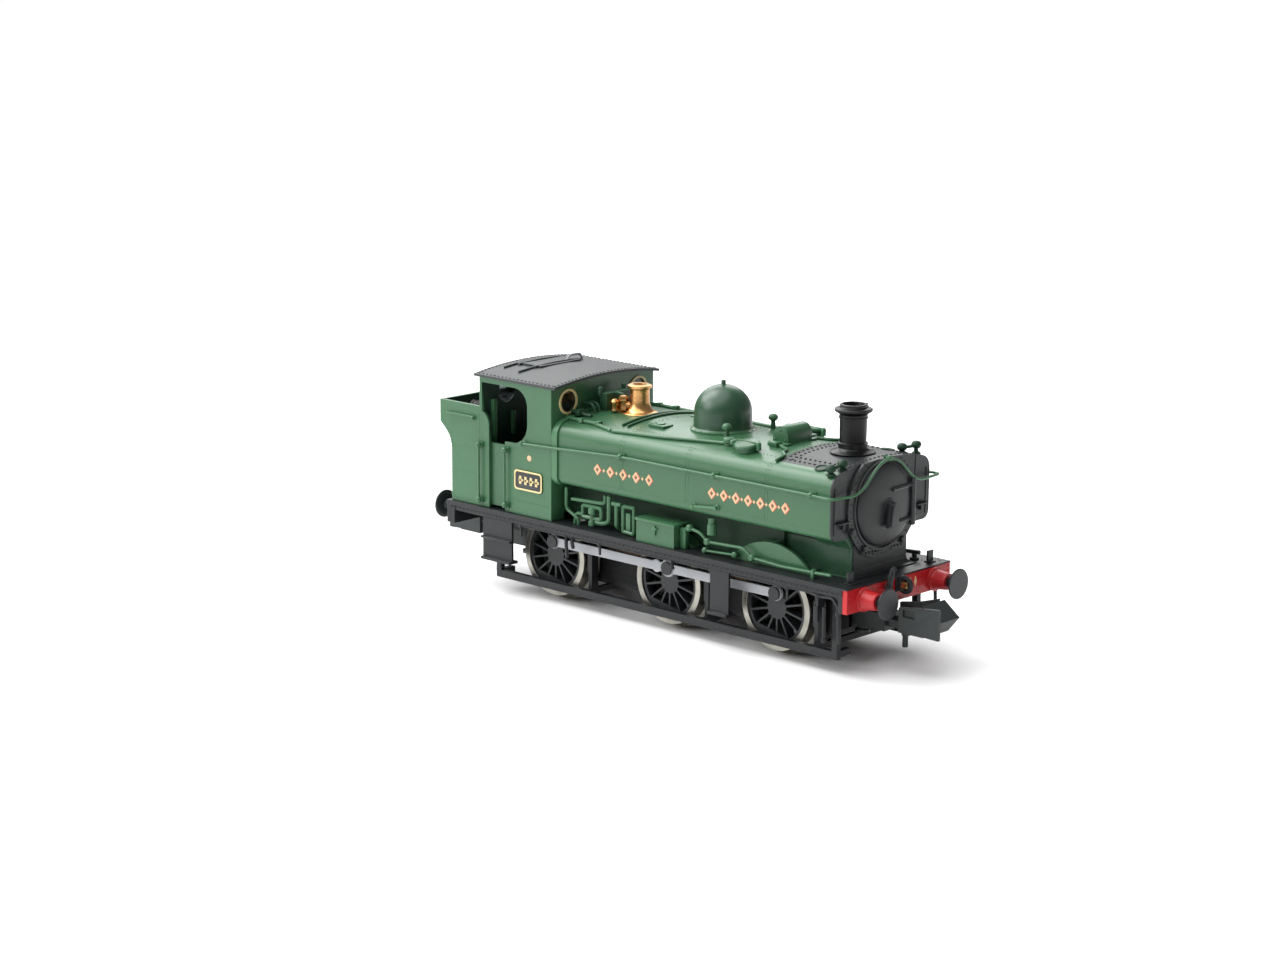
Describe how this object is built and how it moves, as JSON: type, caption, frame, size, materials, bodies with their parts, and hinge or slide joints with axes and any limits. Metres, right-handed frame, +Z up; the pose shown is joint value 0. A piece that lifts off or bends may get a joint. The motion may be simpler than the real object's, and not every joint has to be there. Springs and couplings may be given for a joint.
{
  "type": "model steam locomotive",
  "caption": "Small-scale model six-coupled pannier tank steam locomotive with coupling rods, worm drive and swinging hook couplings.",
  "frame": {"origin": "middle of the overall box in plan, at the bottoms of the wheel flanges (0.6 mm below the rail top)", "axes": "+X forward, towards the chimney; +Y to the locomotive's left; +Z up"},
  "size_m": [0.0706, 0.0174, 0.0266],
  "materials": {
    "cast_metal": "matt die-cast block",
    "screw_steel": "machined",
    "bearing_brass": "machined",
    "black_plastic": "satin moulded",
    "pickup_bronze": "bright strip",
    "motor_steel": "drawn can",
    "motor_copper": "wound and varnished",
    "circuit_green": "gloss",
    "red_paint": "satin",
    "buffer_metal": "blackened metal",
    "green_paint": "satin",
    "smokebox_paint": "matt",
    "copper_finish": "polished copper",
    "roof_paint": "matt",
    "clear_glazing": "clear",
    "brass_trim": "polished",
    "cab_interior": "matt",
    "coal": "broken coal",
    "tyre_metal": "turned nickel silver",
    "wheel_plastic": "satin moulded",
    "axle_steel": "ground",
    "gear_nylon": "nylon",
    "rod_metal": "satin chemically dulled metal",
    "coupling_plastic": "satin moulded"
  },
  "bodies": {
    "chassis": {"chassis_block_left": "cast_metal", "chassis_block_right": "cast_metal", "chassis_screws": "screw_steel", "idler_pin": "screw_steel", "axle_bushes": "bearing_brass", "keeper_plate": "black_plastic", "brake_gear": "black_plastic", "step_plates": "black_plastic", "running_plate": "black_plastic", "draw_hooks": "black_plastic", "rear_buffer_beam": "black_plastic", "pickup_strips": "pickup_bronze", "motor_can": "motor_steel", "circuit_board": "circuit_green", "front_buffer_beam": "red_paint", "buffer_heads": "buffer_metal", "pannier_tanks": "green_paint", "boiler": "green_paint", "dome": "green_paint", "top_feed_cover": "green_paint", "tank_fillers": "green_paint", "tank_vents": "green_paint", "tank_handrails": "green_paint", "cab_handrails": "green_paint", "cab_shell": "green_paint", "bunker": "green_paint", "toolboxes": "green_paint", "splashers": "green_paint", "side_pipework": "green_paint", "smokebox": "smokebox_paint", "smokebox_door": "smokebox_paint", "door_handles": "smokebox_paint", "chimney": "smokebox_paint", "safety_valve_bonnet": "copper_finish", "cab_roof": "roof_paint", "window_glazing": "clear_glazing", "window_rims": "brass_trim", "number_plates": "brass_trim", "cab_backhead": "cab_interior", "coal_load": "coal"},
    "middle_wheelset": {"middle_tyres": "tyre_metal", "middle_wheel_centres": "wheel_plastic", "middle_axle": "axle_steel", "middle_crank_pins": "wheel_plastic", "drive_gear": "gear_nylon"},
    "front_wheelset": {"front_tyres": "tyre_metal", "front_wheel_centres": "wheel_plastic", "front_axle": "axle_steel", "front_crank_pins": "wheel_plastic"},
    "rear_wheelset": {"rear_tyres": "tyre_metal", "rear_wheel_centres": "wheel_plastic", "rear_axle": "axle_steel", "rear_crank_pins": "wheel_plastic"},
    "right_rod": {"right_coupling_rod": "rod_metal"},
    "left_rod": {"left_coupling_rod": "rod_metal"},
    "idler": {"idler_gear": "gear_nylon"},
    "armature": {"motor_armature": "motor_copper", "worm": "bearing_brass"},
    "front_coupling_arm": {"front_coupling": "coupling_plastic"},
    "rear_coupling_arm": {"rear_coupling": "coupling_plastic"}
  },
  "joints": [
    {"name": "middle_wheels_turn", "type": "hinge", "parent": "chassis", "child": "middle_wheelset", "pos_m": [0.00243, 0, 0.0052], "axis": [0, 1, 0], "continuous": true},
    {"name": "front_wheels_turn", "type": "hinge", "parent": "chassis", "child": "front_wheelset", "pos_m": [0.01735, 0, 0.0052], "axis": [0, 1, 0], "continuous": true},
    {"name": "rear_wheels_turn", "type": "hinge", "parent": "chassis", "child": "rear_wheelset", "pos_m": [-0.01456, 0, 0.0052], "axis": [0, 1, 0], "continuous": true},
    {"name": "right_rod_pivot", "type": "hinge", "parent": "middle_wheelset", "child": "right_rod", "pos_m": [0.00278, -0.006, 0.00686], "axis": [0, 1, 0], "continuous": true},
    {"name": "left_rod_pivot", "type": "hinge", "parent": "middle_wheelset", "child": "left_rod", "pos_m": [0.00076, 0.006, 0.00555], "axis": [0, 1, 0], "continuous": true},
    {"name": "idler_turn", "type": "hinge", "parent": "chassis", "child": "idler", "pos_m": [0.00243, 0, 0.0106], "axis": [0, 1, 0], "continuous": true},
    {"name": "armature_spin", "type": "hinge", "parent": "chassis", "child": "armature", "pos_m": [0.00243, 0, 0.0145], "axis": [1, 0, 0], "continuous": true},
    {"name": "front_coupling_swing", "type": "hinge", "parent": "chassis", "child": "front_coupling_arm", "pos_m": [0.02423, 0, 0.0047], "axis": [0, 0, 1], "range_deg": [-10, 10]},
    {"name": "rear_coupling_swing", "type": "hinge", "parent": "chassis", "child": "rear_coupling_arm", "pos_m": [-0.02423, 0, 0.0047], "axis": [0, 0, 1], "range_deg": [-10, 10]}
  ],
  "couplings": [
    {"joint": "front_wheels_turn", "follows": "middle_wheels_turn", "ratio": 1},
    {"joint": "rear_wheels_turn", "follows": "middle_wheels_turn", "ratio": 1},
    {"joint": "right_rod_pivot", "follows": "middle_wheels_turn", "ratio": -1},
    {"joint": "left_rod_pivot", "follows": "middle_wheels_turn", "ratio": -1},
    {"joint": "idler_turn", "follows": "middle_wheels_turn", "ratio": -1},
    {"joint": "armature_spin", "follows": "middle_wheels_turn", "ratio": 18}
  ]
}
